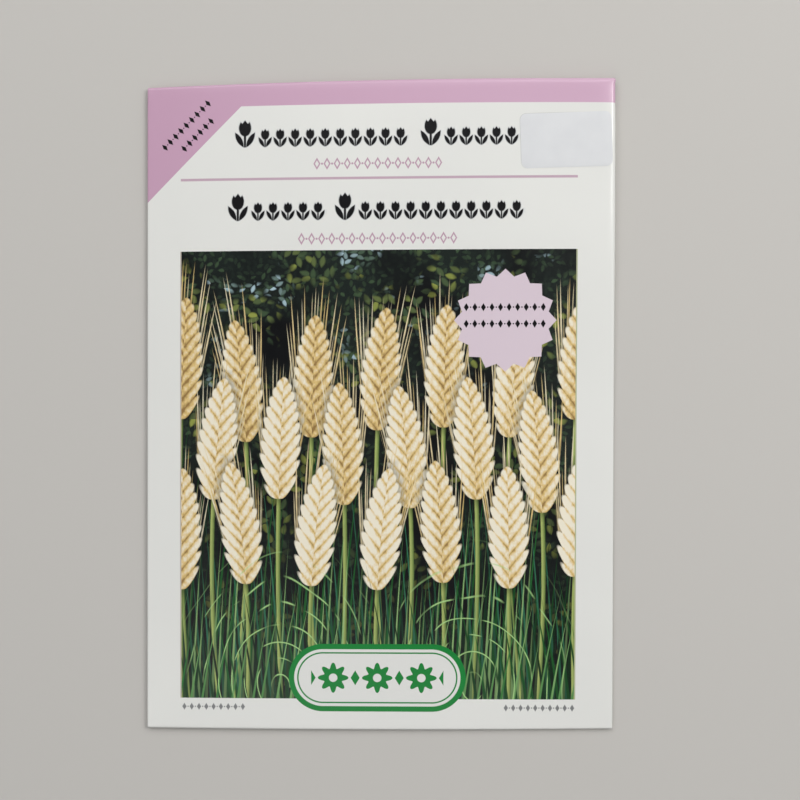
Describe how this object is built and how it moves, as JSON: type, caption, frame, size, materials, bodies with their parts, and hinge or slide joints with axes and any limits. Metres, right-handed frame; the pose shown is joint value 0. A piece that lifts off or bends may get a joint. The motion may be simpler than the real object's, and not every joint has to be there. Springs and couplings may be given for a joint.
{
  "type": "seed packet",
  "caption": "Sealed paper seed packet, folded from one sheet with glued end flaps and a side seam, holding grass seed.",
  "frame": {"origin": "on the surface it lies on, under the middle of the packet's outline", "axes": "+X across the packet to the right of its front, +Y up the front towards the top edge, +Z out of the front panel"},
  "size_m": [0.0826, 0.1152, 0.0028],
  "materials": {
    "printed_paper": "semi-gloss coated paper, printed in mauve, black, greens and creams",
    "label_paper": "smooth plain white label paper",
    "paste": "thin dried paste",
    "seed_husk": "dry straw-coloured husk"
  },
  "bodies": {
    "root": {"envelope": "printed_paper", "top_flap_glue": "paste", "bottom_flap_glue": "paste", "side_seam_glue": "paste", "price_label": "label_paper", "seed_01": "seed_husk", "seed_02": "seed_husk", "seed_03": "seed_husk", "seed_04": "seed_husk", "seed_05": "seed_husk", "seed_06": "seed_husk", "seed_07": "seed_husk", "seed_08": "seed_husk", "seed_09": "seed_husk", "seed_10": "seed_husk", "seed_11": "seed_husk", "seed_12": "seed_husk", "seed_13": "seed_husk", "seed_14": "seed_husk", "seed_15": "seed_husk", "seed_16": "seed_husk", "seed_17": "seed_husk", "seed_18": "seed_husk", "seed_19": "seed_husk", "seed_20": "seed_husk", "seed_21": "seed_husk", "seed_22": "seed_husk", "seed_23": "seed_husk", "seed_24": "seed_husk", "seed_25": "seed_husk", "seed_26": "seed_husk", "seed_27": "seed_husk", "seed_28": "seed_husk", "seed_29": "seed_husk", "seed_30": "seed_husk", "seed_31": "seed_husk", "seed_32": "seed_husk", "seed_33": "seed_husk", "seed_34": "seed_husk", "seed_35": "seed_husk", "seed_36": "seed_husk", "seed_37": "seed_husk", "seed_38": "seed_husk", "seed_39": "seed_husk", "seed_40": "seed_husk"}
  },
  "joints": []
}
